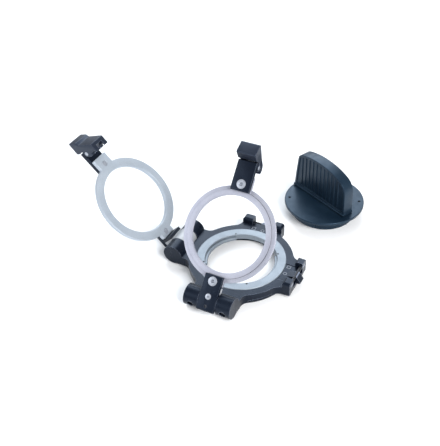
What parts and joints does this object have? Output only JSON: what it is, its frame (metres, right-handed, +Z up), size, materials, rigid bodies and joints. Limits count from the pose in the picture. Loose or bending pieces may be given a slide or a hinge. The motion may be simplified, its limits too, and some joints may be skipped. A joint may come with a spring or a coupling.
{
  "type": "barn door attachment clamp base",
  "caption": "Clamp base with a bayonet bore, hinged clamp rings that swing over it and latch at the far side, and a loose bayonet plug with a ribbed grip.",
  "frame": {"origin": "on the bore axis at the underside of the base", "axes": "+X towards the right latch receiver, +Y towards the back latch receiver, +Z up along the bore"},
  "size_m": [0.2604, 0.2321, 0.1281],
  "materials": {
    "black_anodised": "satin black anodised",
    "silver_anodised": "bead-blasted silver anodised",
    "bare_aluminium": "milled",
    "bright_steel": "bright",
    "dark_steel": "blackened",
    "bush_plastic": "acetal",
    "black_plastic": "fine moulded grain",
    "seal_rubber": "matt",
    "mark_paint": "matt grey"
  },
  "bodies": {
    "base": {"base_frame": "black_anodised", "bayonet_ring": "silver_anodised", "insert_screws": "bright_steel", "index_pins": "dark_steel", "front_hinge_pin": "dark_steel", "left_hinge_pin": "dark_steel", "knuckle_screws": "dark_steel", "back_catch_dowel": "dark_steel", "right_catch_dowel": "dark_steel", "lock_marks": "mark_paint"},
    "front_clamp": {"front_ring": "silver_anodised", "front_hinge_block": "bare_aluminium", "front_hinge_bush": "bush_plastic", "front_arm_plate": "black_anodised", "front_arm_screw": "bright_steel", "front_block_screws": "bright_steel", "front_latch_plate": "black_anodised", "front_latch_screw": "bright_steel", "front_latch_pin": "bright_steel"},
    "front_lever": {"front_latch_lever": "black_anodised"},
    "left_clamp": {"left_ring": "silver_anodised", "left_hinge_block": "bare_aluminium", "left_hinge_bush": "bush_plastic", "left_arm_plate": "black_anodised", "left_arm_screw": "bright_steel", "left_block_screws": "bright_steel", "left_latch_plate": "black_anodised", "left_latch_screw": "bright_steel", "left_latch_pin": "bright_steel"},
    "left_lever": {"left_latch_lever": "black_anodised"},
    "plug": {"plug_disc": "black_plastic", "plug_pins": "dark_steel", "plug_skirt": "black_plastic", "plug_lugs": "black_plastic", "plug_seal": "seal_rubber", "plug_screws": "bright_steel", "plug_grip": "black_plastic"}
  },
  "joints": [
    {"name": "front_hinge", "type": "hinge", "parent": "base", "child": "front_clamp", "pos_m": [0, -0.0625, 0.0107], "axis": [1, 0, 0], "range_deg": [-48, 42]},
    {"name": "front_latch", "type": "hinge", "parent": "front_clamp", "child": "front_lever", "pos_m": [0, 0.02066, 0.10605], "axis": [1, 0, 0], "range_deg": [-11, 5]},
    {"name": "left_hinge", "type": "hinge", "parent": "base", "child": "left_clamp", "pos_m": [-0.0625, 0, 0.0107], "axis": [0, -1, 0], "range_deg": [-68, 4]},
    {"name": "left_latch", "type": "hinge", "parent": "left_clamp", "child": "left_lever", "pos_m": [-0.15937, 0, 0.09272], "axis": [0, -1, 0], "range_deg": [-5, 5]},
    {"name": "plug_lift", "type": "slide", "parent": "base", "child": "plug", "axis": [0, 0, 1], "range_m": [0, 0.1]}
  ]
}
